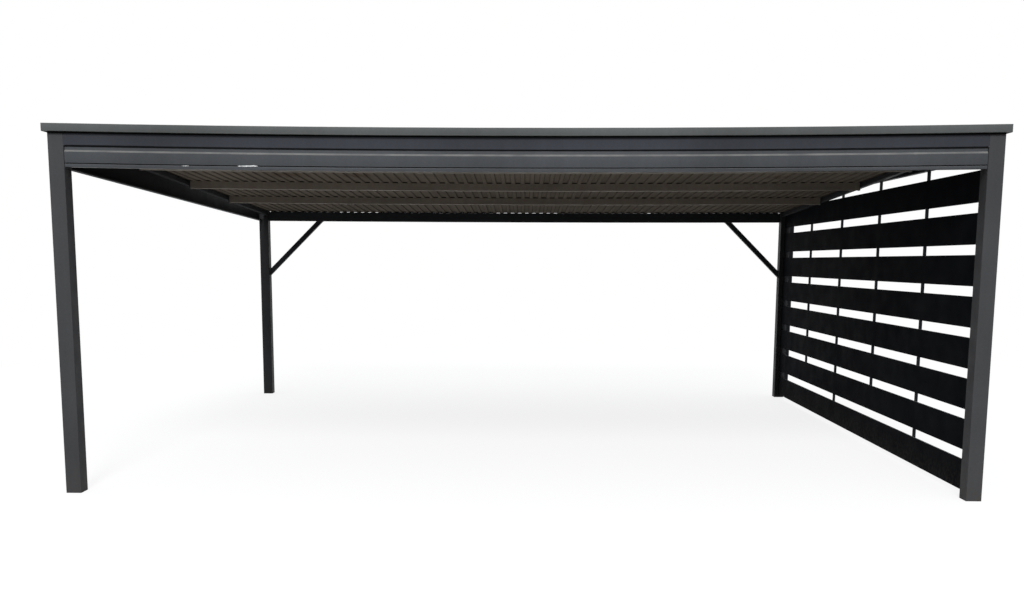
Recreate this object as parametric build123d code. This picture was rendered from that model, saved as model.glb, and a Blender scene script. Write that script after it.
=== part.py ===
from build123d import *
import os
from math import asin, degrees, hypot

# A free-standing steel carport, open at the front, the back and the left, with a slatted wall
# on its right. Four square posts carry a level parapet on the front and both sides, and a
# ribbed steel roof falls to the rear inside it, open to the rear. Millimetres, +Z up, X to the
# right, the front faces -Y.
# The origin is on the ground, under the middle of the roof.

# Plan and heights
posts_width = 5940
posts_depth = 4940
cap_overhang = 25
beam_top = 2310
roof_drop = 248
front_sag = 27
rear_sag = 8
seat = 0.3

# Posts and their foot plates
post_size = 100
post_wall = 3
post_corner = 5
foot_thick = 5

# Front, rear and side beams
beam_height = 80
beam_width = 60
beam_wall = 3
beam_corner = 4
rear_beam_height = 100

# Purlins under the roof sheets, measured from the front face of the front posts, and the
# falling rails that carry their ends along both sides
purlin_height = 60
purlin_width = 50
purlin_wall = 2.5
purlin_places = {"front": 1190, "middle": 2300, "rear": 3405}
rail_width = 40
rail_height = 40
rail_wall = 2.5
rail_corner = 3

# Corner braces of the rear frame
brace_size = 50
brace_wall = 3
brace_corner = 4
brace_leg = 580

# Ribbed roof sheets
sheet_count = 6
ribs_per_sheet = 12
rib_height = 10
rib_crest = 36
rib_web = 8
sheet_thick = 2
sheet_end_gap = 1

# Folded fascia below the front beam, top to bottom
fold_thick = 2
fascia_depth = 38
fascia_recess = 8
fascia_upper_face = 27
fascia_step = 12
fascia_lower_face = 68
fascia_groove_depth = 10
fascia_groove = 6
trim_height = 20

# Side fascias, hung from the side beams. The left one is deeper at its rear end
left_fascia_front = 128
left_fascia_rear = 270
right_fascia_height = 51
side_flange = 38
side_lip = 15

# Cap flashing along the top of the parapet
cap_face = 48
cap_set_back = 5
cap_lift = 3

# Slatted wall
board_count = 8
board_height = 201
board_thick = 15
board_wall = 1.5
board_corner = 2
wall_ground_gap = 35
wall_top_gap = 74
batten_size = 20
batten_wall = 2
batten_corner = 3
batten_count = 4
batten_end_lap = 40
upright_width = 180
upright_depth = 40
upright_wall = 2
upright_corner = 3

# Places worked out from the sizes above
half_width = posts_width / 2
half_depth = posts_depth / 2
front_face = -half_depth
rear_face = half_depth
bay_half = half_width - post_size
bay_front = front_face + post_size
bay_rear = rear_face - post_size
roof_half = half_width + cap_overhang
roof_front = front_face - cap_overhang
roof_rear = rear_face + cap_overhang
side_inner = half_width - beam_width
cap_width = cap_overhang + beam_width - cap_set_back
rear_beam_front = rear_face - (post_size + beam_width) / 2
rear_beam_top = beam_top - roof_drop
deck_fall = roof_drop / (rear_beam_front - front_face)
side_beam_low = beam_top - beam_height
board_middle = half_width - post_size / 2
boards_outer = board_middle + board_thick / 2
big = 4 * (posts_width + posts_depth)


def sag(y):
    """How far the middle of the roof lies below its ends, at a place along the depth."""
    return front_sag + (rear_sag - front_sag) * (y - front_face) / posts_depth


def drop(x, y):
    """How far the sagging roof lies below its ends, at a place in the plan."""
    return sag(y) * max(0, 1 - (x / roof_half) ** 2)


def deck_z(y):
    """The underside of the roof sheets at their ends, at a place along the depth."""
    return beam_top + seat - deck_fall * (y - front_face - beam_width)


def block(x0, x1, y0, y1, z0, z1):
    """A box between two corners."""
    centre = ((x0 + x1) / 2, (y0 + y1) / 2, (z0 + z1) / 2)
    return Pos(*centre) * Box(x1 - x0, y1 - y0, z1 - z0)


def tube(width, depth, height, wall, corner):
    """An upright tube with rounded corners, standing on z = 0 about its own middle."""
    outer = RectangleRounded(width, depth, corner)
    bore = RectangleRounded(width - 2 * wall, depth - 2 * wall, max(corner - wall, 0.5))
    return extrude(outer - bore, height)


def rounded(corners, radius):
    """A flat face from its corners, rounded off where a radius is given."""
    face = make_face(Polyline(*corners, close=True))
    return fillet(face.vertices(), radius) if radius else face


def sagging(points, x_half, radius=0):
    """Carry a (y, z) outline across the width on the arc of the roof where its front is."""
    middle_sag = sag(points[0][0])
    sag_radius = (roof_half ** 2 + middle_sag ** 2) / (2 * middle_sag)
    face = rounded([(0, y, z - middle_sag) for y, z in points], radius)
    axis = Axis((0, 0, beam_top - middle_sag + sag_radius), (0, 1, 0))
    half_turn = degrees(asin(1.05 * x_half / sag_radius))
    bar = revolve(face, axis, 2 * half_turn).rotate(axis, -half_turn)
    return bar & block(-x_half, x_half, -big, big, -big, big)


def falling(points, y0, y1, fall, radius=0):
    """Carry an (x, z) outline along the depth, falling to the rear. Its z is that at y0."""
    face = rounded([(x, y0, z) for x, z in points], radius)
    return extrude(face, (y1 - y0) * hypot(1, fall), dir=(0, 1, -fall))


def rectangle(u0, u1, v0, v1):
    """The four corners of a rectangle."""
    return [(u0, v0), (u1, v0), (u1, v1), (u0, v1)]


def folded(path, thick):
    """The closed outline of a folded sheet, from the corners of its outer side."""
    ahead = []
    for (u0, v0), (u1, v1) in zip(path, path[1:]):
        length = hypot(u1 - u0, v1 - v0)
        ahead.append(((u1 - u0) / length, (v1 - v0) / length))
    inner = []
    for number, (u, v) in enumerate(path):
        before = ahead[max(number - 1, 0)]
        after = ahead[min(number, len(ahead) - 1)]
        share = 1 + before[0] * after[0] + before[1] * after[1]
        normal = (-(before[1] + after[1]) / share, (before[0] + after[0]) / share)
        inner.append((u + thick * normal[0], v + thick * normal[1]))
    return path + inner[::-1]


def fascia_path(outer, top):
    """The outer side of the fascia sheet, from its top flange to its bottom flange."""
    step_top = top - fascia_upper_face
    step_end = step_top - fascia_step
    groove_top = step_end - fascia_lower_face
    groove_end = groove_top - fascia_groove
    recessed = outer + fascia_recess
    grooved = outer + fascia_groove_depth
    back = outer + fascia_depth
    return [
        (back, top),
        (recessed, top),
        (recessed, step_top),
        (outer, step_end),
        (outer, groove_top),
        (grooved, groove_top),
        (grooved, groove_end),
        (back, groove_end),
    ]


def trim_path(outer, top):
    """The outer side of the channel that closes the fascia's lower edge."""
    back = outer + fascia_depth
    return [(back, top), (outer, top), (outer, top - trim_height), (back, top - trim_height)]


def cap_path(outer, bottom, foot):
    """The outer side of the cap flashing, from its drip edge over the top to its inner leg."""
    top = bottom + cap_face
    lip = outer + cap_overhang - fold_thick
    inner = outer + cap_width
    return [(lip, bottom), (outer, bottom), (outer, top), (inner, top), (inner, foot)]


fascia_height = fascia_upper_face + fascia_step + fascia_lower_face + fascia_groove
parts = {}

# Posts
front_post_top = deck_z(bay_front) - drop(bay_half, bay_front) - seat
for side, way in (("left", -1), ("right", 1)):
    centre_x = way * (half_width - post_size / 2)
    for end, centre_y, top in (
        ("front", front_face + post_size / 2, front_post_top),
        ("rear", rear_face - post_size / 2, beam_top),
    ):
        post = tube(post_size, post_size, top - foot_thick, post_wall, post_corner)
        plate = extrude(RectangleRounded(post_size, post_size, post_corner), foot_thick)
        parts[f"{end}_{side}_post"] = Pos(centre_x, centre_y, foot_thick) * post
        parts[f"{end}_{side}_foot_plate"] = Pos(centre_x, centre_y, 0) * plate


def sagging_tube(y0, top, height, x_half):
    """A beam across the width on the arc of the roof."""
    y1 = y0 + beam_width
    wall = beam_wall
    outer = rectangle(y0, y1, top - height, top)
    bore = rectangle(y0 + wall, y1 - wall, top - height + wall, top - wall)
    inner_corner = beam_corner - beam_wall
    return sagging(outer, x_half, beam_corner) - sagging(bore, x_half + wall, inner_corner)


# Beams
beam_half = bay_half - seat
parts["front_beam"] = sagging_tube(front_face, beam_top, beam_height, beam_half)
parts["rear_beam"] = sagging_tube(rear_beam_front, rear_beam_top, rear_beam_height, beam_half)
side_front = bay_front + seat
side_rear = bay_rear - seat


def side_tube(inner, outer, low, high, wall, corner, fall):
    """A tube along the right side between the posts. Its heights are those at its front."""
    whole = rectangle(inner, outer, low, high)
    bore = rectangle(inner + wall, outer - wall, low + wall, high - wall)
    bar = falling(whole, side_front, side_rear, fall, corner)
    return bar - falling(bore, side_front, side_rear, fall, corner - wall)


# Level beams along the sides, and inside them the rails that fall with the roof
rail_outer = side_inner - seat
rail_inner = rail_outer - rail_width
rail_top = deck_z(side_front) - seat - drop(rail_inner, side_front)
side_beam = side_tube(
    side_inner, half_width, side_beam_low, beam_top, beam_wall, beam_corner, 0
)
side_rail = side_tube(
    rail_inner, rail_outer, rail_top - rail_height, rail_top, rail_wall, rail_corner, deck_fall
)
parts["right_side_beam"] = side_beam
parts["left_side_beam"] = mirror(side_beam, about=Plane.YZ)
parts["right_roof_rail"] = side_rail
parts["left_roof_rail"] = mirror(side_rail, about=Plane.YZ)

# Purlins between the rails
for name, place in purlin_places.items():
    y0 = front_face + place
    y1 = y0 + purlin_width
    top0 = deck_z(y0) - seat
    top1 = deck_z(y1) - seat
    wall = purlin_wall
    outer = [(y0, top0 - purlin_height), (y1, top1 - purlin_height), (y1, top1), (y0, top0)]
    bore = [
        (y0 + wall, top0 - purlin_height + wall),
        (y1 - wall, top1 - purlin_height + wall),
        (y1 - wall, top1 - wall),
        (y0 + wall, top0 - wall),
    ]
    purlin_half = rail_inner - seat
    purlin = sagging(outer, purlin_half) - sagging(bore, purlin_half + purlin_wall)
    parts[f"{name}_purlin"] = purlin

# Corner braces between the rear posts and the rear beam
brace_front = rear_face - (post_size + brace_size) / 2
brace_low = rear_beam_top - rear_beam_height - drop(bay_half, rear_face) - brace_leg
for side, way in (("left", -1), ("right", 1)):
    reach = 2 * brace_size
    start = Plane(
        origin=(bay_half + reach, brace_front + brace_size / 2, brace_low - reach),
        x_dir=(0, 1, 0),
        z_dir=(-1, 0, 1),
    )
    length = 2 * (brace_leg + reach) + brace_size
    bar = start * tube(brace_size, brace_size, length, brace_wall, brace_corner)
    brace_x = bay_half - brace_leg - brace_size
    brace_top = rear_beam_top - rear_beam_height - drop(brace_x, rear_beam_front)
    room = block(0, bay_half - seat, bay_rear, rear_face, 0, brace_top - seat)
    bar = bar & room
    if way < 0:
        bar = mirror(bar, about=Plane.YZ)
    parts[f"rear_{side}_brace"] = bar

# Roof sheets, each a ribbed outline carried from the front to the rear edge
deck_half = rail_outer - sheet_end_gap
sheet_width = 2 * deck_half / sheet_count
rib_pitch = sheet_width / ribs_per_sheet
pan_half = (rib_pitch - rib_crest - 2 * rib_web) / 2
for number in range(sheet_count):
    left = -deck_half + number * sheet_width
    lower = [(left + seat / 2, 0)]
    for rib in range(ribs_per_sheet):
        foot = left + rib * rib_pitch + pan_half
        crest = foot + rib_web
        lower += [(foot, 0), (crest, rib_height)]
        lower += [(crest + rib_crest, rib_height), (crest + rib_crest + rib_web, 0)]
    lower.append((left + sheet_width - seat / 2, 0))
    ends = []
    for y in (front_face, roof_rear):
        path = [(x, deck_z(y) + z - drop(x, y)) for x, z in lower]
        ends.append(rounded([(x, y, z) for x, z in folded(path, sheet_thick)], 0))
    sheet = loft(ends, ruled=True)
    if number in (0, sheet_count - 1):
        way = -1 if number == 0 else 1
        notch = sorted((way * (bay_half - seat), way * half_width))
        sheet -= block(*notch, bay_rear - seat, roof_rear + 1, 0, 2 * beam_top)
    parts[f"roof_sheet_{number + 1}"] = sheet

# Fascia below the front beam
front_top = beam_top - beam_height - seat
path = fascia_path(front_face, front_top)
parts["front_fascia"] = sagging(folded(path, fold_thick), beam_half)
trim_top = front_top - fascia_height - seat
path = trim_path(front_face, trim_top)
parts["front_fascia_trim"] = sagging(folded(path, fold_thick), beam_half)


def hanging_sheet(front_height, rear_height):
    """A sheet under the right side beam: a top flange, a face and a lipped lower flange."""
    outer = half_width
    inner = outer - side_flange
    high = side_beam_low - seat
    low = side_beam_low - front_height
    fall = (rear_height - front_height) / (side_rear - side_front)
    flange = block(inner, outer, side_front, side_rear, high - fold_thick, high)
    corners = [
        (side_front, high),
        (side_rear, high),
        (side_rear, side_beam_low - rear_height),
        (side_front, low),
    ]
    face = extrude(rounded([(outer, y, z) for y, z in corners], 0), fold_thick, dir=(-1, 0, 0))
    lip = [(inner, low + side_lip), (inner, low), (outer, low)]
    lower = falling(folded(lip, fold_thick), side_front, side_rear, fall)
    return flange + face + lower


# Fascias below the side beams
parts["right_fascia"] = hanging_sheet(right_fascia_height, right_fascia_height)
left_fascia = hanging_sheet(left_fascia_front, left_fascia_rear)
parts["left_fascia"] = mirror(left_fascia, about=Plane.YZ)

# Cap flashing
cap_back = roof_front + cap_width
foot = deck_z(cap_back) + rib_height + sheet_thick + sag(roof_front) - sag(cap_back) + seat
path = cap_path(roof_front, beam_top + cap_lift, foot)
parts["front_cap"] = sagging(folded(path, -fold_thick), roof_half)
cap_start = cap_back + seat
path = cap_path(-roof_half, beam_top + cap_lift, beam_top + seat)
side_cap = falling(folded(path, -fold_thick), cap_start, roof_rear, 0)
parts["left_cap"] = side_cap
parts["right_cap"] = mirror(side_cap, about=Plane.YZ)

# Slatted wall: boards spread evenly over its height, numbered from the top
wall_head = side_beam_low - right_fascia_height
wall_top = wall_head - wall_top_gap
board_pitch = (wall_top - wall_ground_gap - board_height) / (board_count - 1)
board_inner = boards_outer - board_thick
for number in range(board_count):
    top = wall_top - number * board_pitch
    parts[f"wall_board_{number + 1}"] = side_tube(
        board_inner, boards_outer, top - board_height, top, board_wall, board_corner, 0
    )

# Battens on the outer side of the boards, in even bays from the front. Every second one
# stops a board higher
batten_middle = boards_outer + seat + batten_size / 2
batten_bay = (bay_rear - bay_front) / (batten_count + 1)
for number in range(batten_count):
    place = bay_front + (number + 1) * batten_bay
    last_board = board_count - 1 - number % 2
    low = wall_top - last_board * board_pitch - board_height + batten_end_lap
    height = wall_head - seat - low
    batten = tube(batten_size, batten_size, height, batten_wall, batten_corner)
    parts[f"wall_batten_{number + 1}"] = Pos(batten_middle, place, low) * batten

# The wide upright at the rear end of the wall
upright_middle = (boards_outer + seat + upright_depth / 2, side_rear - upright_width / 2)
height = wall_head - seat - wall_ground_gap
upright = tube(upright_depth, upright_width, height, upright_wall, upright_corner)
parts["wall_rear_upright"] = Pos(*upright_middle, wall_ground_gap) * upright

os.makedirs("parts", exist_ok=True)
for name, shape in parts.items():
    export_step(shape, f"parts/{name}.step")
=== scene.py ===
import math
import random
import bpy
from mathutils import Matrix, Vector


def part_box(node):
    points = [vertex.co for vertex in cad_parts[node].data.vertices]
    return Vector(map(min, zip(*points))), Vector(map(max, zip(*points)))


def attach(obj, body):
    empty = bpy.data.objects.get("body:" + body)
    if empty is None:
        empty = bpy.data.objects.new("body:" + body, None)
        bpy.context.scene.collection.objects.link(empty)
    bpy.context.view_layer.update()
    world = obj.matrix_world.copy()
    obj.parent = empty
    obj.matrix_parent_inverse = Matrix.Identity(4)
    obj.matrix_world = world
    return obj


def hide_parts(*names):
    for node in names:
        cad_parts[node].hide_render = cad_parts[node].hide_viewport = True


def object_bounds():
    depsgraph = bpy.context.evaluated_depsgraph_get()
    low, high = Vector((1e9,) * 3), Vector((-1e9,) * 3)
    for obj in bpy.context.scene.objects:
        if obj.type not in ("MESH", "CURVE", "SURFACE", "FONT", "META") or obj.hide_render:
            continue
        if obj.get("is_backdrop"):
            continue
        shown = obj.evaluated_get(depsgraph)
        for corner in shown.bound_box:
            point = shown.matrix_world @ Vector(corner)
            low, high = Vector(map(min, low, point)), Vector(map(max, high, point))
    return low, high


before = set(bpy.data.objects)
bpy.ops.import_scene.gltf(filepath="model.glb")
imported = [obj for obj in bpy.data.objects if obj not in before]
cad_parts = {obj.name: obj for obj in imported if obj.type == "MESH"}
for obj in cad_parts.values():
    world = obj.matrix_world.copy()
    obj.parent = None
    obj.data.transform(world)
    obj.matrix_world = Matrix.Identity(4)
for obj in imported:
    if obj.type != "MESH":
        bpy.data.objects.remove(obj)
cad_low, cad_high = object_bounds()

# Camera
# It stands at eye height in front of the middle of the bay and looks a few degrees down. Its
# place and angles were worked out from edges in the picture, which is 1024 by 614 pixels.
picture_width = 1024
picture_height = 614
camera_place = (0.0295, -8.6176, 1.5153)
camera_down = 0.1276
camera_left = 0.0213
camera_roll = 0.0043
focal_pixels = 968.94
axis_pixel = (504.17, 385.99)
bpy.ops.object.camera_add(location=camera_place)
camera = bpy.context.object
camera.name = "camera"
camera.data.sensor_width = 36.0
camera.data.lens = focal_pixels / picture_width * camera.data.sensor_width
camera.data.shift_x = (picture_width / 2 - axis_pixel[0]) / picture_width
camera.data.shift_y = (axis_pixel[1] - picture_height / 2) / picture_width
turned = Matrix.Rotation(camera_left, 4, "Z")
tilted = Matrix.Rotation(math.pi / 2 - camera_down, 4, "X")
rolled = Matrix.Rotation(camera_roll, 4, "Z")
camera.matrix_world = Matrix.Translation(camera_place) @ turned @ tilted @ rolled
bpy.context.scene.camera = camera
bpy.context.scene.view_settings.view_transform = "Standard"


# Studio light, floor and white surroundings
# A sky that lights mostly from overhead and is seen as plain white, and one broad soft lamp
# high in front. The pale floor keeps a faint shadow and throws little light up under the roof.
def fill(tree, socket, value):
    """Link a socket to another one, or set its own value."""
    if isinstance(value, bpy.types.NodeSocket):
        tree.links.new(value, socket)
    else:
        socket.default_value = value


def add_node(tree, kind, options=None, **inputs):
    """A shader node of this kind with its options and its inputs set or linked."""
    made = tree.nodes.new("ShaderNode" + kind)
    for name, value in (options or {}).items():
        setattr(made, name, value)
    for name, value in inputs.items():
        fill(tree, made.inputs[name.replace("_", " ")], value)
    return made


def ranged(tree, value, low, high, to_low, to_high):
    """A value carried from one range to another and held inside it."""
    node = add_node(tree, "MapRange", Value=value)
    for name, number in zip(("From Min", "From Max", "To Min", "To Max"), (low, high, to_low, to_high)):
        node.inputs[name].default_value = number
    return node.outputs["Result"]


def sums(tree, way, first, second):
    """Two values put together by one sum."""
    node = tree.nodes.new("ShaderNodeMath")
    node.operation = way
    fill(tree, node.inputs[0], first)
    fill(tree, node.inputs[1], second)
    return node.outputs[0]


def shader_mix(tree, share, first, second):
    """Two shaders mixed by a share."""
    node = tree.nodes.new("ShaderNodeMixShader")
    fill(tree, node.inputs[0], share)
    tree.links.new(first, node.inputs[1])
    tree.links.new(second, node.inputs[2])
    return node.outputs[0]


def seen_rays(tree):
    """1 for what the camera sees, also in metal and through glass, and 0 for what lights."""
    rays = add_node(tree, "LightPath").outputs
    seen = sums(tree, "MAXIMUM", rays["Is Camera Ray"], rays["Is Transmission Ray"])
    return sums(tree, "MAXIMUM", seen, rays["Is Glossy Ray"])


sky_colour = (0.95, 0.975, 1.0, 1)
sky_low_strength = 0.1
sky_high_strength = 1.3
sky_full_height = 0.8
world = bpy.data.worlds.new("white_surroundings")
bpy.context.scene.world = world
world.use_nodes = True
tree = world.node_tree
tree.nodes.clear()
way_up = add_node(tree, "SeparateXYZ", Vector=add_node(tree, "TexCoord").outputs["Generated"])
strength = ranged(tree, way_up.outputs["Z"], 0, sky_full_height, sky_low_strength, sky_high_strength)
sky = add_node(tree, "Background", Color=sky_colour, Strength=strength).outputs[0]
seen = add_node(tree, "Background", Color=(1, 1, 1, 1), Strength=1.0).outputs[0]
surroundings = shader_mix(tree, seen_rays(tree), sky, seen)
tree.links.new(surroundings, add_node(tree, "OutputWorld").inputs["Surface"])

lamp_place = (-0.5, -22.0, 17.5)
lamp_target = Vector((0, -1.5, 1.6))
lamp_size = 7.0
lamp_power = 5800
bpy.ops.object.light_add(type="AREA", location=lamp_place)
key = bpy.context.object
key.name = "key_lamp"
key.data.shape = "DISK"
key.data.size = lamp_size
key.data.energy = lamp_power
key.rotation_euler = (lamp_target - key.location).to_track_quat("-Z", "Y").to_euler()

floor_size = 160.0
floor_near = 4.5
floor_far = 9.0
floor_glow = 0.84
floor_colour = (0.85, 0.85, 0.85, 1)
floor_bounce = (0.14, 0.137, 0.133, 1)
bpy.ops.mesh.primitive_plane_add(size=floor_size, location=(0, 0, 0))
floor = bpy.context.object
floor.name = "floor"
floor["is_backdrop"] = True
surface = bpy.data.materials.new("pale_floor")
floor.data.materials.append(surface)
surface.use_nodes = True
tree = surface.node_tree
tree.nodes.clear()
place = add_node(tree, "TexCoord").outputs["Object"]
distance = add_node(tree, "VectorMath", {"operation": "LENGTH"}, Vector=place).outputs["Value"]
plain_share = ranged(tree, distance, floor_near, floor_far, floor_glow, 1.0)
matt = add_node(tree, "BsdfDiffuse", Color=floor_colour).outputs[0]
white = add_node(tree, "Emission", Strength=1.0).outputs[0]
pale = shader_mix(tree, plain_share, matt, white)
dull = add_node(tree, "BsdfDiffuse", Color=floor_bounce).outputs[0]
floor_look = shader_mix(tree, seen_rays(tree), dull, pale)
tree.links.new(floor_look, add_node(tree, "OutputMaterial").inputs["Surface"])


# Posts and foot plates
# Square steel tubes, cut to length, each welded flush to a small foot plate and powder coated
# in anthracite grey. Rain splashes dirt on their feet, and the rear ones have a lid on top.
def noise(tree, place, scale, stretch=(1, 1, 1), detail=4.0):
    """Cloudy noise on the object's own coordinates, from 0 to 1."""
    spread = add_node(tree, "Mapping", Vector=place, Scale=stretch).outputs[0]
    return add_node(tree, "TexNoise", Vector=spread, Scale=scale, Detail=detail).outputs[0]


def tinted(tree, share, first, second, way="MIX"):
    """Two colours mixed by a share."""
    node = add_node(tree, "Mix", {"data_type": "RGBA", "blend_type": way})
    for number, value in ((0, share), (6, first), (7, second)):
        fill(tree, node.inputs[number], value)
    return node.outputs[2]


def new_coat(name):
    """A finish, its node tree, its shader and the object's own coordinates."""
    finish = bpy.data.materials.new(name)
    finish.use_nodes = True
    tree = finish.node_tree
    return finish, tree, tree.nodes["Principled BSDF"], add_node(tree, "TexCoord").outputs["Object"]


run_stretch = (17, 17, 0.7)
speck_scale = 90


def clouded(tree, place, colour, depth, stretch=(1, 1, 1), scale=1.4):
    """A colour with broad clouds, faint runs and fine specks in it."""
    faint = depth / 3
    clouds = ranged(tree, noise(tree, place, scale, stretch, 6), 0.32, 0.68, 1 - depth, 1 + depth)
    runs = ranged(tree, noise(tree, place, 1, run_stretch), 0.3, 0.7, 1 - faint, 1 + faint)
    specks = ranged(tree, noise(tree, place, speck_scale, detail=2), 0.3, 0.7, 1 - faint, 1 + faint)
    tone = sums(tree, "MULTIPLY", sums(tree, "MULTIPLY", clouds, runs), specks)
    grey = add_node(tree, "CombineColor", Red=tone, Green=tone, Blue=tone).outputs[0]
    return tinted(tree, 1.0, colour, grey, "MULTIPLY")


wave_scale = 2.6
grain_height = 0.0004


def grained(tree, place, grain, grain_scale=420, dents=0.0):
    """The fine grain of a coat, over the slow waves of thin sheet."""
    waves = add_node(tree, "Bump", Height=noise(tree, place, wave_scale, detail=1), Strength=1.0)
    waves.inputs["Distance"].default_value = dents
    fine = noise(tree, place, grain_scale, detail=3)
    bump = add_node(tree, "Bump", Height=fine, Strength=grain, Normal=waves.outputs[0])
    bump.inputs["Distance"].default_value = grain_height
    return bump.outputs[0]


dust_and_highlight_colour = (0.22, 0.215, 0.205, 1)
splash_dirt = (0.062, 0.054, 0.044, 1)
splash_height = 0.38
dust_scale = 9
splash_scale = 34
sheen_scale = 7
paint_clouds = 0.13
paint_grain = 0.35


def steel_paint(name, colour, rough=0.5, gloss=0.055, dust_and_highlight=0.3, splashed=0.0, dents=0.0, inner=None):
    """Anthracite coat, dusty where it faces up, dirty near the ground, with painted shade on an inner
    side. On the fascia's upward fold the dust is also a painted highlight.
    """
    finish, tree, shader, place = new_coat(name)
    base = clouded(tree, place, colour, paint_clouds)
    facing = add_node(tree, "SeparateXYZ", Vector=add_node(tree, "NewGeometry").outputs["Normal"])
    upward = ranged(tree, facing.outputs["Z"], 0.25, 0.9, 0, dust_and_highlight)
    patches = ranged(tree, noise(tree, place, dust_scale, detail=6), 0.3, 0.75, 0.35, 1)
    base = tinted(tree, sums(tree, "MULTIPLY", upward, patches), base, dust_and_highlight_colour)
    # Faces on the inner side of the carport get a near-black colour: painted shade.
    if inner:
        across = add_node(tree, "SeparateXYZ", Vector=place).outputs["X"]
        outward = sums(tree, "MULTIPLY", facing.outputs["X"], across)
        base = tinted(tree, ranged(tree, outward, -1.5, -0.5, 1, 0), base, inner)
    if splashed:
        height = add_node(tree, "SeparateXYZ", Vector=place).outputs["Z"]
        low = ranged(tree, height, 0, splash_height, 1, 0)
        spots = ranged(tree, noise(tree, place, splash_scale, detail=8), 0.42, 0.68, 0, splashed)
        share = sums(tree, "MULTIPLY", sums(tree, "POWER", low, 2.2), spots)
        base = tinted(tree, share, base, splash_dirt)
    tree.links.new(base, shader.inputs["Base Color"])
    sheen = noise(tree, place, sheen_scale, detail=5)
    sheen = ranged(tree, sheen, 0.3, 0.7, rough - 0.06, rough + 0.08)
    tree.links.new(sheen, shader.inputs["Roughness"])
    shader.inputs["Specular IOR Level"].default_value = gloss
    tree.links.new(grained(tree, place, paint_grain, dents=dents), shader.inputs["Normal"])
    return finish


def deselect():
    """Nothing stays selected, so that the next step acts on its own piece alone."""
    if bpy.context.object and bpy.context.object.mode != "OBJECT":
        bpy.ops.object.mode_set(mode="OBJECT")
    bpy.ops.object.select_all(action="DESELECT")


def dress(finish, *names):
    """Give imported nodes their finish."""
    for name in names:
        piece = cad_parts[name]
        piece.data.materials.clear()
        piece.data.materials.append(finish)


def fitted(piece, finish, slot, *nodes):
    """Give a new piece its finish, and tie it to the carport."""
    piece.data.materials.clear()
    piece.data.materials.append(finish)
    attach(piece, "root")
    if nodes:
        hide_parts(*nodes)


def block(name, low, high, edge):
    """A block between two corners with softened edges."""
    deselect()
    middle = [(a + b) / 2 for a, b in zip(low, high)]
    size = [b - a for a, b in zip(low, high)]
    bpy.ops.mesh.primitive_cube_add(size=1, location=middle, scale=size)
    piece = bpy.context.object
    piece.name = name
    bpy.ops.object.transform_apply(location=True, rotation=True, scale=True)
    bpy.ops.object.mode_set(mode="EDIT")
    bpy.ops.mesh.select_all(action="SELECT")
    bpy.ops.mesh.bevel(offset=edge, segments=2, affect="EDGES")
    bpy.ops.object.mode_set(mode="OBJECT")
    return piece


frame_colour = (0.053, 0.054, 0.057, 1)
plate_colour = (0.05, 0.05, 0.052, 1)
frame_paint = steel_paint("frame_paint", frame_colour, splashed=0.75)
plate_paint = steel_paint("foot_plate_paint", plate_colour, splashed=0.9)
posts = [f"{end}_{side}_post" for end in ("front", "rear") for side in ("left", "right")]
plates = [name.replace("post", "foot_plate") for name in posts]
dress(frame_paint, *posts)
dress(plate_paint, *plates)

lid_thick = 0.002
lid_gap = 0.0035
lid_edge = 0.0004
for side in ("left", "right"):
    low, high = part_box(f"rear_{side}_post")
    lid = block(
        f"rear_{side}_post_lid",
        (low[0] + lid_gap, low[1] + lid_gap, high[2] - 2 * lid_thick),
        (high[0] - lid_gap, high[1] - lid_gap, high[2] - lid_thick),
        lid_edge,
    )
    fitted(lid, frame_paint, "frame_paint")


# Front and rear beams
# Rectangular steel tubes welded between the posts and coated with them. The front one sags a
# little and shows its whole face above the fascia, and the rear one carries the low roof edge.
def pick(*pieces):
    """Select these pieces alone, the first one active."""
    deselect()
    for piece in pieces:
        piece.select_set(True)
    bpy.context.view_layer.objects.active = pieces[0]


def choose(piece, kind, rule):
    """Enter edit mode with only the edges or faces selected that a rule picks."""
    pick(piece)
    bpy.ops.object.mode_set(mode="EDIT")
    bpy.ops.mesh.select_mode(type=kind)
    bpy.ops.mesh.select_all(action="DESELECT")
    bpy.ops.object.mode_set(mode="OBJECT")
    for part in piece.data.edges if kind == "EDGE" else piece.data.polygons:
        part.select = rule(part)
    bpy.ops.object.mode_set(mode="EDIT")


def edge_run(piece, edge):
    """The way an edge goes, from its first corner to its second."""
    first, second = (piece.data.vertices[number].co for number in edge.vertices)
    return second - first


def joined(name, pieces):
    """Small like parts made one piece."""
    pick(*pieces)
    bpy.ops.object.join()
    piece = bpy.context.object
    piece.name = name
    bpy.ops.object.transform_apply(location=True, rotation=True, scale=True)
    return piece


ripples = bpy.data.textures.new("weld_ripples", "CLOUDS")
ripples.noise_scale = 0.007
ripple_share = 0.4
ripple_length = 0.006
least_ripples = 4
long_edge = 0.9


def weld_bead(start, end, radius=0.0035):
    """A rippled bead of weld metal from one point to another."""
    deselect()
    run = Vector(end) - Vector(start)
    bpy.ops.mesh.primitive_cylinder_add(
        vertices=8,
        radius=radius,
        depth=run.length,
        location=(Vector(start) + Vector(end)) / 2,
        rotation=run.to_track_quat("Z", "Y").to_euler(),
    )
    bead = bpy.context.object
    bpy.ops.object.transform_apply(location=True, rotation=True, scale=True)
    choose(bead, "EDGE", lambda edge: edge_run(bead, edge).length > long_edge * run.length)
    bpy.ops.mesh.subdivide(number_cuts=max(least_ripples, round(run.length / ripple_length)))
    bpy.ops.object.mode_set(mode="OBJECT")
    surface = bead.modifiers.new("ripples", "DISPLACE")
    surface.texture = ripples
    surface.texture_coords = "LOCAL"
    surface.strength = ripple_share * radius
    bpy.ops.object.modifier_apply(modifier=surface.name)
    bpy.ops.object.shade_smooth()
    return bead


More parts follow.
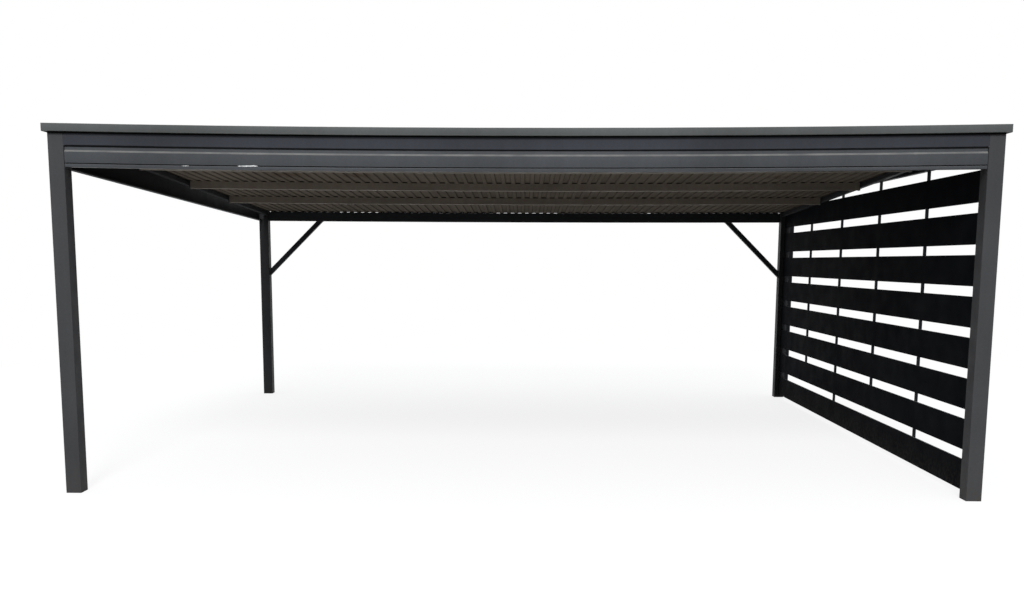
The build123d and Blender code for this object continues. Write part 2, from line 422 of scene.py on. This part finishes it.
beam_height = 0.08
rear_beam_height = 0.10
weld_inset = 0.001
# The front beam's colour is darker and bluer than the posts': painted shade from the cap above it.
front_beam_shaded_colour = (0.036, 0.039, 0.047, 1)
rear_beam_colour = (0.036, 0.039, 0.043, 1)
weld_colour = (0.045, 0.047, 0.05, 1)
beam_paint = steel_paint("front_beam_shaded_paint", front_beam_shaded_colour, rough=0.46, dust_and_highlight=0.2)
rear_paint = steel_paint("rear_beam_paint", rear_beam_colour, rough=0.55)
dress(beam_paint, "front_beam")
dress(rear_paint, "rear_beam")
weld_paint = steel_paint("weld_paint", weld_colour, rough=0.42, gloss=0.25)
beads = []
for name, height in (("front_beam", beam_height), ("rear_beam", rear_beam_height)):
    low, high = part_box(name)
    bottom = high[2] - height
    for x in (low[0] + weld_inset, high[0] - weld_inset):
        back = (x, high[1] + weld_inset, high[2] - 2 * weld_inset)
        beads.append(weld_bead(back, (x, back[1], back[2] - height)))
        beads.append(weld_bead((x, low[1], bottom), (x, high[1], bottom)))
        if name == "rear_beam":
            beads.append(weld_bead((x, low[1], high[2]), (x, low[1], bottom)))
fitted(joined("beam_welds", beads), weld_paint, "frame_paint")

# Side beams and roof rails
# The level beams along the sides are tubes of the same section as the front one. Smaller
# tubes run beside them, falling to the rear, and carry the ends of the purlins.
rail_colour = (0.032, 0.034, 0.037, 1)
side_paint = steel_paint("side_beam_paint", frame_colour, rough=0.52, dust_and_highlight=0.6)
rail_paint = steel_paint("roof_rail_paint", rail_colour, rough=0.58)
dress(side_paint, "left_side_beam", "right_side_beam")
dress(rail_paint, "left_roof_rail", "right_roof_rail")

# Purlins
# Three galvanised steel tubes under the roof sheets, brushed with grey-brown primer and
# welded to the rails. They have gone dull, with a fine spangle left in the zinc.
primer_colour = (0.335, 0.293, 0.246, 1)
primer_rough = (0.5, 0.68)
spangle_scale = 70
spangle_share = 0.05
purlin_primer, tree, shader, place = new_coat("purlin_primer")
base = clouded(tree, place, primer_colour, 0.16, (0.5, 3, 3), 2.5)
spangle = add_node(tree, "TexVoronoi", Vector=place, Scale=spangle_scale).outputs["Color"]
base = tinted(tree, spangle_share, base, spangle, "OVERLAY")
tree.links.new(base, shader.inputs["Base Color"])
sheen = ranged(tree, noise(tree, place, 12, detail=5), 0.3, 0.7, *primer_rough)
tree.links.new(sheen, shader.inputs["Roughness"])
shader.inputs["Specular IOR Level"].default_value = 0.08
tree.links.new(grained(tree, place, 0.3, 160), shader.inputs["Normal"])
purlins = ["front_purlin", "middle_purlin", "rear_purlin"]
dress(purlin_primer, *purlins)
purlin_height = 0.06
purlin_weld_drop = 0.003
beads = []
for name in purlins:
    low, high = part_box(name)
    foot = high[2] - purlin_height - purlin_weld_drop
    for x in (low[0] + weld_inset, high[0] - weld_inset):
        beads.append(weld_bead((x, low[1], foot), (x, high[1], foot)))
        for y in (low[1], high[1]):
            beads.append(weld_bead((x, y, foot), (x, y, high[2] - purlin_weld_drop)))
fitted(joined("purlin_welds", beads), weld_paint, "purlin_steel")

# Corner braces
# Short square tubes cut to 45 degrees at both ends and welded between the posts and the beam
# of the rear frame, where they keep its corners square.
brace_size = 0.05
brace_colour = (0.034, 0.037, 0.041, 1)
brace_paint = steel_paint("brace_paint", brace_colour, rough=0.52)
dress(brace_paint, "rear_left_brace", "rear_right_brace")
beads = []
for name, way in (("rear_left_brace", -1), ("rear_right_brace", 1)):
    low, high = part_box(name)
    outer = high[0] if way > 0 else low[0]
    inner = low[0] if way > 0 else high[0]
    cut = brace_size * math.sqrt(2)
    for y in (low[1], high[1]):
        beads.append(weld_bead((outer, y, low[2]), (outer, y, low[2] + cut)))
        beads.append(weld_bead((inner, y, high[2]), (inner + way * cut, y, high[2])))
    beads.append(weld_bead((outer, low[1], low[2] + cut), (outer, high[1], low[2] + cut)))
    beads.append(weld_bead((inner, low[1], high[2]), (inner, high[1], high[2])))
fitted(joined("brace_welds", beads), weld_paint, "frame_paint")

# Roof sheets
# Ribbed steel sheets, coated anthracite above and backed with a brown-grey fleece that holds
# condensation. Screws with washers go through the ribs into the purlins and the rear beam.
sheet_count = 6
ribs_per_sheet = 12
sheets = [f"roof_sheet_{number + 1}" for number in range(sheet_count)]
fleece_colour = (0.385, 0.33, 0.27, 1)
stain_colour = (0.16, 0.085, 0.05, 1)
web_shade_colour = (0.05, 0.043, 0.036, 1)
web_shade_share = 0.42
stain_share = 0.45
stain_scale = 14
fleece_rough = 0.92
roof_top_colour = (0.052, 0.056, 0.061, 1)
top_rough = 0.5
grime_share = 0.3
fleece_stains = ((-1.36, -0.6, 0.16), (-1.92, -0.6, 0.2), (0.9, 0.35, 0.14), (2.1, -0.5, 0.12))


def stained(tree, place, base, centre, radius, share):
    """A colour with one soft-edged brown stain around a point."""
    away = add_node(tree, "VectorMath", {"operation": "DISTANCE"})
    fill(tree, away.inputs[0], place)
    away.inputs[1].default_value = centre
    wander = ranged(tree, noise(tree, place, stain_scale), 0, 1, -0.06, 0.06)
    edge = sums(tree, "ADD", away.outputs["Value"], wander)
    return tinted(tree, ranged(tree, edge, 0.3 * radius, radius, share, 0), base, stain_colour)


roof_finish, tree, shader, place = new_coat("roof_sheet_finish")
fleece = clouded(tree, place, fleece_colour, 0.14, (1.2, 0.5, 1), 2.2)
fibres = ranged(tree, noise(tree, place, 260, (1, 0.6, 1), 3), 0.3, 0.7, 0.86, 1.12)
fibre_grey = add_node(tree, "CombineColor", Red=fibres, Green=fibres, Blue=fibres).outputs[0]
fleece = tinted(tree, 1.0, fleece, fibre_grey, "MULTIPLY")
sheet_low, sheet_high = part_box("roof_sheet_3")
for x, y, radius in fleece_stains:
    depth_share = (y - sheet_low[1]) / (sheet_high[1] - sheet_low[1])
    z = sheet_high[2] + depth_share * (sheet_low[2] - sheet_high[2])
    fleece = stained(tree, place, fleece, (x, y, z), radius, stain_share)
top = clouded(tree, place, roof_top_colour, 0.09, (3, 0.35, 1), 2.0)
grime = ranged(tree, noise(tree, place, 5, (6, 0.5, 1), 8), 0.45, 0.8, 0, grime_share)
top = tinted(tree, grime, top, dust_and_highlight_colour)
facing = add_node(tree, "SeparateXYZ", Vector=add_node(tree, "NewGeometry").outputs["True Normal"])
# Fleece on the rib webs, which face sideways, is darkened: painted shade in the ribs.
aslant = sums(tree, "ABSOLUTE", facing.outputs["X"], 0)
fleece = tinted(tree, ranged(tree, aslant, 0.2, 0.5, 0, web_shade_share), fleece, web_shade_colour)
above = ranged(tree, facing.outputs["Z"], -0.05, 0.05, 0, 1)
tree.links.new(tinted(tree, above, fleece, top), shader.inputs["Base Color"])
sheen = ranged(tree, facing.outputs["Z"], -0.05, 0.05, fleece_rough, top_rough)
tree.links.new(sheen, shader.inputs["Roughness"])
shader.inputs["Specular IOR Level"].default_value = 0.03
tree.links.new(grained(tree, place, 0.6, 300), shader.inputs["Normal"])
dress(roof_finish, *sheets)
above_roof = 3.0
below_roof = 1.5


def roof_surface(x, y, way):
    """The height at which a plumb line meets a roof sheet, coming down or going up."""
    start = Vector((x, y, above_roof if way < 0 else below_roof))
    for name in sheets:
        met, point, _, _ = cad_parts[name].ray_cast(start, (0, 0, way))
        if met:
            return point.z
    return None


washer_thick = 0.0016
washer_edge = 0.0004
head_edge = 0.0006


def screw(head_radius, head_height, washer_radius):
    """A hexagon head on a washer, standing on z = 0."""
    deselect()
    bpy.ops.mesh.primitive_cylinder_add(
        vertices=16, radius=washer_radius, depth=washer_thick, location=(0, 0, washer_thick / 2)
    )
    washer = bpy.context.object
    deselect()
    bpy.ops.mesh.primitive_cylinder_add(
        vertices=6,
        radius=head_radius,
        depth=head_height,
        location=(0, 0, washer_thick + head_height / 2),
    )
    head = bpy.context.object
    for part, edge in ((washer, washer_edge), (head, head_edge)):
        pick(part)
        bpy.ops.object.mode_set(mode="EDIT")
        bpy.ops.mesh.select_all(action="SELECT")
        bpy.ops.mesh.bevel(offset=edge, segments=1, affect="EDGES")
        bpy.ops.object.mode_set(mode="OBJECT")
    return joined("screw_model", [washer, head])


def copies(model, places, name, turn=(0, 0, 0)):
    """A small part copied to each place and joined into one piece. The model itself goes."""
    made = []
    for place in places:
        copy = bpy.data.objects.new(name, model.data.copy())
        bpy.context.collection.objects.link(copy)
        copy.location = place
        copy.rotation_euler = turn
        made.append(copy)
    bpy.data.objects.remove(model)
    return joined(name, made)


sheet_boxes = [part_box(name) for name in sheets]
rib_pitch = (sheet_boxes[1][1][0] - sheet_boxes[1][0][0]) / ribs_per_sheet
rib_middles = []
for low, high in sheet_boxes:
    rib_middles += [low[0] + (number + 0.5) * rib_pitch for number in range(ribs_per_sheet)]
carrier_places = [(low[1] + high[1]) / 2 for low, high in map(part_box, purlins)]
carrier_places.append(sum(box[1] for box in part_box("rear_beam")) / 2)
end_ribs = 0.14
rib_limit = cad_high[0] - end_ribs
ribs_per_screw = 3
places = []
for y in carrier_places:
    for number, x in enumerate(rib_middles):
        if number % ribs_per_screw == 1 and abs(x) < rib_limit:
            places.append((x, y, roof_surface(x, y, -1)))
zinc_colour = (0.3, 0.3, 0.29, 1)
screw_zinc, tree, shader, place = new_coat("screw_zinc")
base = clouded(tree, place, zinc_colour, 0.2, scale=60)
tree.links.new(base, shader.inputs["Base Color"])
tree.links.new(ranged(tree, noise(tree, place, 200), 0.3, 0.7, 0.35, 0.6), shader.inputs["Roughness"])
shader.inputs["Metallic"].default_value = 0.8
model = screw(head_radius=0.0055, head_height=0.0055, washer_radius=0.0095)
roof_screws = copies(model, places, "roof_screws")
fitted(roof_screws, screw_zinc, "roof_sheet_steel")

# Each sheet laps over the next one
lap_half = 0.0125
lap_thick = 0.0008
lap_inset = 0.001
lap_edge = 0.0002
beside_seam = 0.003
for number in range(sheet_count - 1):
    seam = (sheet_boxes[number][1][0] + sheet_boxes[number + 1][0][0]) / 2
    front, rear = sheet_low[1] + lap_inset, sheet_high[1] - lap_inset
    front_z = roof_surface(seam + beside_seam, front, -1)
    rear_z = roof_surface(seam + beside_seam, rear, -1)
    run = Vector((0, rear - front, rear_z - front_z))
    deselect()
    bpy.ops.mesh.primitive_cube_add(
        size=1,
        location=(seam, (front + rear) / 2, (front_z + rear_z) / 2 + lap_thick / 2),
        rotation=(math.atan2(run.z, run.y), 0, 0),
        scale=(2 * lap_half, run.length, lap_thick),
    )
    lap = bpy.context.object
    lap.name = f"roof_lap_{number + 1}"
    bpy.ops.object.transform_apply(location=True, rotation=True, scale=True)
    bpy.ops.object.mode_set(mode="EDIT")
    bpy.ops.mesh.select_all(action="SELECT")
    bpy.ops.mesh.bevel(offset=lap_edge, segments=1, affect="EDGES")
    bpy.ops.object.mode_set(mode="OBJECT")
    fitted(lap, roof_finish, "roof_sheet_steel")

# Near-black foam strips fill the ribs over the purlins and the rear beam: painted shade in the rib
# hollows. A few are missing at the rear beam
missing_fillers = ((-2.12, -1.62), (-0.32, 0.44), (1.41, 1.47), (2.80, 2.90))
rib_crest = 0.036
rib_height = 0.010
rib_web = 0.008
filler_depth = 0.03
filler_gap = 0.0005
filler_flare = 1.8
facing_down = -0.9
rib_shade_colour = (0.02, 0.02, 0.021, 1)
rib_shade_finish, tree, shader, place = new_coat("rib_shade_blocks")
base = clouded(tree, place, rib_shade_colour, 0.2, scale=30)
tree.links.new(base, shader.inputs["Base Color"])
tree.links.new(ranged(tree, noise(tree, place, 50), 0.3, 0.7, 0.85, 1.0), shader.inputs["Roughness"])
shader.inputs["Specular IOR Level"].default_value = 0.03
tree.links.new(grained(tree, place, 0.8, 500), shader.inputs["Normal"])
deselect()
filler_size = (rib_crest, filler_depth, rib_height - 2 * filler_gap)
middle = (0, 0, -filler_gap - filler_size[2] / 2)
bpy.ops.mesh.primitive_cube_add(size=1, location=middle, scale=filler_size)
filler = bpy.context.object
bpy.ops.object.transform_apply(location=True, rotation=True, scale=True)
choose(filler, "FACE", lambda face: face.normal.z < facing_down)
bpy.ops.transform.resize(value=((rib_crest + filler_flare * rib_web) / rib_crest, 1, 1))
bpy.ops.object.mode_set(mode="OBJECT")
places = []
for name in [*purlins, "rear_beam"]:
    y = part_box(name)[0][1] + filler_depth
    for x in rib_middles:
        missing = name == "rear_beam" and any(low < x < high for low, high in missing_fillers)
        if not missing and abs(x) < rib_limit:
            places.append((x, y, roof_surface(x, y, 1)))
fitted(copies(filler, places, "rib_shade_fillers"), rib_shade_finish, "roof_sheet_steel")


# Front fascia
# Coated sheet folded into two steps below the front beam, with a channel that closes its
# lower edge. It ends a few millimetres short of the posts, and scraps of film still stick to it.
merge_distance = 0.00002
fold_radius = 0.0009
fold_segments = 3
fold_least = 30
flat_angle = 0.05
smooth_angle = 35


def rounded_sheet(name, ends=None):
    """A copy of a sheet's node with its triangles joined, its ends cut and its folds rounded."""
    piece = bpy.data.objects.new(f"{name}_sheet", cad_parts[name].data.copy())
    bpy.context.collection.objects.link(piece)
    pick(piece)
    bpy.ops.object.mode_set(mode="EDIT")
    bpy.ops.mesh.select_all(action="SELECT")
    bpy.ops.mesh.remove_doubles(threshold=merge_distance)
    for x in ends or ():
        bpy.ops.mesh.select_all(action="SELECT")
        way = 1 if x > 0 else -1
        bpy.ops.mesh.bisect(plane_co=(x, 0, 0), plane_no=(way, 0, 0), clear_outer=True, use_fill=True)
    bpy.ops.mesh.select_all(action="SELECT")
    bpy.ops.mesh.dissolve_limited(angle_limit=math.radians(flat_angle))
    bpy.ops.object.mode_set(mode="OBJECT")
    folds = piece.modifiers.new("folds", "BEVEL")
    folds.width = fold_radius
    folds.segments = fold_segments
    folds.limit_method = "ANGLE"
    folds.angle_limit = math.radians(fold_least)
    bpy.ops.object.modifier_apply(modifier=folds.name)
    bpy.ops.object.shade_smooth_by_angle(angle=math.radians(smooth_angle))
    return piece


fascia_colour = (0.060, 0.064, 0.070, 1)
# The pale dust on its upward faces, along the fold, is real dust and also a painted highlight.
fascia_paint = steel_paint("fascia_paint", fascia_colour, rough=0.42, dust_and_highlight=1.7, dents=0.0012)
fascia_end_gap = 0.004
bay_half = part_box("front_right_post")[0][0]
fascia_ends = (fascia_end_gap - bay_half, bay_half - fascia_end_gap)
for name in ("front_fascia", "front_fascia_trim"):
    fitted(rounded_sheet(name, fascia_ends), fascia_paint, "fascia_paint", name)

# Two torn scraps of the film that covered the sheet still cling to the channel
film_colour = (0.62, 0.63, 0.64, 1)
film, tree, shader, place = new_coat("torn_film")
base = clouded(tree, place, film_colour, 0.2, scale=50)
tree.links.new(base, shader.inputs["Base Color"])
tree.links.new(ranged(tree, noise(tree, place, 80), 0.3, 0.7, 0.3, 0.6), shader.inputs["Roughness"])
film_scraps = ((-1.71, 0.125, 0.008), (-2.105, 0.045, 0.004))
film_height = 2.1015
film_off = 0.0016
film_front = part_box("front_fascia_trim")[0][1] - film_off
film_thick = 0.0002
film_least_taper = 0.04
film_ruffle = 0.0014
film_back = 0.0009
film_forward = 0.0012
draw = random.Random(4)
scraps = []
for middle, length, height in film_scraps:
    deselect()
    bpy.ops.mesh.primitive_grid_add(
        x_subdivisions=14,
        y_subdivisions=3,
        size=1,
        location=(middle, film_front, film_height),
        rotation=(math.pi / 2, 0, 0),
    )
    scrap = bpy.context.object
    scrap.scale = (length, height, 1)
    bpy.ops.object.transform_apply(location=True, rotation=True, scale=True)
    for corner in scrap.data.vertices:
        along = 2 * (corner.co.x - middle) / length
        taper = math.sqrt(max(film_least_taper, 1 - along * along))
        corner.co.z = film_height + taper * (corner.co.z - film_height)
        corner.co.y += draw.uniform(-film_forward, film_back)
        corner.co.z += draw.uniform(-film_ruffle, film_ruffle)
    thickness = scrap.modifiers.new("thickness", "SOLIDIFY")
    thickness.thickness = film_thick
    bpy.ops.object.modifier_apply(modifier=thickness.name)
    scraps.append(scrap)
fitted(joined("film_scraps", scraps), film, "fascia_paint")

# Black strips fill the joint under the cap's drip edge, the one between beam and fascia
# and the fascia's groove: painted shade lines.
shade_line_colour = (0.006, 0.006, 0.006, 1)
shade_line_finish, tree, shader, place = new_coat("black_shade_lines")
base = clouded(tree, place, shade_line_colour, 0.3, scale=20)
tree.links.new(base, shader.inputs["Base Color"])
tree.links.new(ranged(tree, noise(tree, place, 40), 0.3, 0.7, 0.7, 0.9), shader.inputs["Roughness"])
shader.inputs["Specular IOR Level"].default_value = 0.03
tree.links.new(grained(tree, place, 0.5, 120), shader.inputs["Normal"])
beam_low, beam_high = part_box("front_beam")
front_sag = beam_high[2] - beam_low[2] - beam_height
sag_half = cad_high[0]
sag_cuts = 47
shade_line_edge = 0.0004
shade_line_long = 1.0


def shade_line_strip(name, half, high, height, front, thick):
    """A black strip of painted shade across the front that follows the sag of the beam."""
    strip = block(name, (-half, front, high - height), (half, front + thick, high), shade_line_edge)
    choose(strip, "EDGE", lambda edge: edge_run(strip, edge).length > shade_line_long)
    bpy.ops.mesh.subdivide(number_cuts=sag_cuts)
    bpy.ops.object.mode_set(mode="OBJECT")
    for corner in strip.data.vertices:
        corner.co.z -= front_sag * (1 - (corner.co.x / sag_half) ** 2)
    return strip


front_face = beam_low[1]
beam_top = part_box("rear_left_post")[1][2]
bay_shade_line = fascia_ends[1]
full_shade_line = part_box("front_right_post")[1][0] - 0.001

# Each strip's name, half its length, its top, height, front face and thickness
strips = (
    ("cap_shade_line", full_shade_line, beam_top + 0.0028, 0.0095, front_face - 0.003, 0.0028),
    ("beam_shade_line", bay_shade_line, beam_top - beam_height - 0.0004, 0.0055, front_face + 0.002, 0.0055),
    ("groove_shade_line", bay_shade_line, beam_top - beam_height - 0.1076, 0.0056, front_face + 0.004, 0.0055),
)
for strip in strips:
    fitted(shade_line_strip(*strip), shade_line_finish, "fascia_paint")

# Side fascias
# Plain coated sheets hung under the side beams, with a lipped lower edge. The left one gets
# deeper towards the rear, as the roof falls, and the right one hangs above the slatted wall.
side_colour = (0.045, 0.048, 0.053, 1)
# Their inner side is darkened to near black: painted shade.
side_fascia_inner_shade = (0.0085, 0.0085, 0.009, 1)
side_fascia_paint = steel_paint(
    "side_fascia_paint", side_colour, gloss=0.03, dust_and_highlight=0.5, dents=0.0016, inner=side_fascia_inner_shade
)
for name in ("left_fascia", "right_fascia"):
    fitted(rounded_sheet(name), side_fascia_paint, "fascia_paint", name)

# Cap flashing
# Coated sheet folded over the parapet with a drip edge in front, a little paler than the rest, partly
# from dust and partly as painted light. Small plates close its open ends, at the front corners and the
# rear.
cap_dust_and_light_colour = (0.086, 0.091, 0.091, 1)
cap_paint = steel_paint("cap_paint", cap_dust_and_light_colour, rough=0.4, dust_and_highlight=0.55, dents=0.001)
for name in ("front_cap", "left_cap", "right_cap"):
    fitted(rounded_sheet(name), cap_paint, "cap_paint", name)
sheet_clear = 0.0022
end_from = 0.0035
end_to = 0.0015
end_lift = 0.001
end_edge = 0.0004
for name in ("left_cap", "right_cap"):
    low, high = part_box(name)
    plate = block(
        f"{name}_end",
        (low[0] + sheet_clear, high[1] - end_from, low[2] + end_lift),
        (high[0] - sheet_clear, high[1] - end_to, high[2] - sheet_clear),
        end_edge,
    )
    fitted(plate, cap_paint, "cap_paint")
front_low, front_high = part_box("front_cap")
cap_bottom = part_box("right_cap")[0][2]
corner_from = 0.0004
corner_to = 0.002
corner_top = 0.0487
corner_edge = 0.0003
for side, outer, inner in (("left", front_low[0], 1), ("right", front_high[0], -1)):
    across = sorted((outer + inner * corner_from, outer + inner * corner_to))
    plate = block(
        f"front_cap_{side}_end",
        (across[0], front_low[1] + sheet_clear, cap_bottom + end_lift),
        (across[1], front_high[1] - corner_from, cap_bottom + corner_top),
        corner_edge,
    )
    fitted(plate, cap_paint, "cap_paint")

# Wall boards
# Eight hollow sheet-steel boards between the right posts, with even gaps. Their coat is matt and dusty
# along the upper edges. Its colour is darker than the frame's and darkest on their inner side: painted
# shade.
board_count = 8
board_shaded_colour = (0.030, 0.032, 0.037, 1)
board_inner_shade = (0.0055, 0.0063, 0.008, 1)
board_paint = steel_paint(
    "board_paint", board_shaded_colour, rough=0.65, gloss=0.01, splashed=0.5, dents=0.0012, inner=board_inner_shade
)
boards = [f"wall_board_{number + 1}" for number in range(board_count)]
dress(board_paint, *boards)

# Battens and the wide rear upright
# Slim square tubes on the outer side of the boards, screwed to each board with two small
# hexagon screws, and one wide flat tube beside the rear post.
batten_count = 4
batten_colour = (0.032, 0.034, 0.038, 1)
wall_frame_paint = steel_paint("wall_frame_paint", batten_colour, rough=0.52, splashed=0.6)
battens = [f"wall_batten_{number + 1}" for number in range(batten_count)]
dress(wall_frame_paint, *battens, "wall_rear_upright")
screw_from_edge = 0.045
screw_from_side = 0.03
screw_from_end = 0.01
widest_batten = 0.1
places = []
for name in [*battens, "wall_rear_upright"]:
    low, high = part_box(name)
    width = high[1] - low[1]
    columns = [low[1] + width / 2]
    if width > widest_batten:
        columns = [low[1] + screw_from_side, high[1] - screw_from_side]
    for board in boards:
        board_low, board_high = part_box(board)
        for z in (board_low[2] + screw_from_edge, board_high[2] - screw_from_edge):
            if low[2] + screw_from_end < z < high[2] - screw_from_end:
                places += [(high[0], y, z) for y in columns]
model = screw(head_radius=0.0042, head_height=0.0032, washer_radius=0.006)
wall_screws = copies(model, places, "wall_screws", turn=(0, math.pi / 2, 0))
fitted(wall_screws, screw_zinc, "wall_frame_paint")

# Sizes
# The box of what is shown, found after the dressing. The construction's box was found at the start.
low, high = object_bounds()
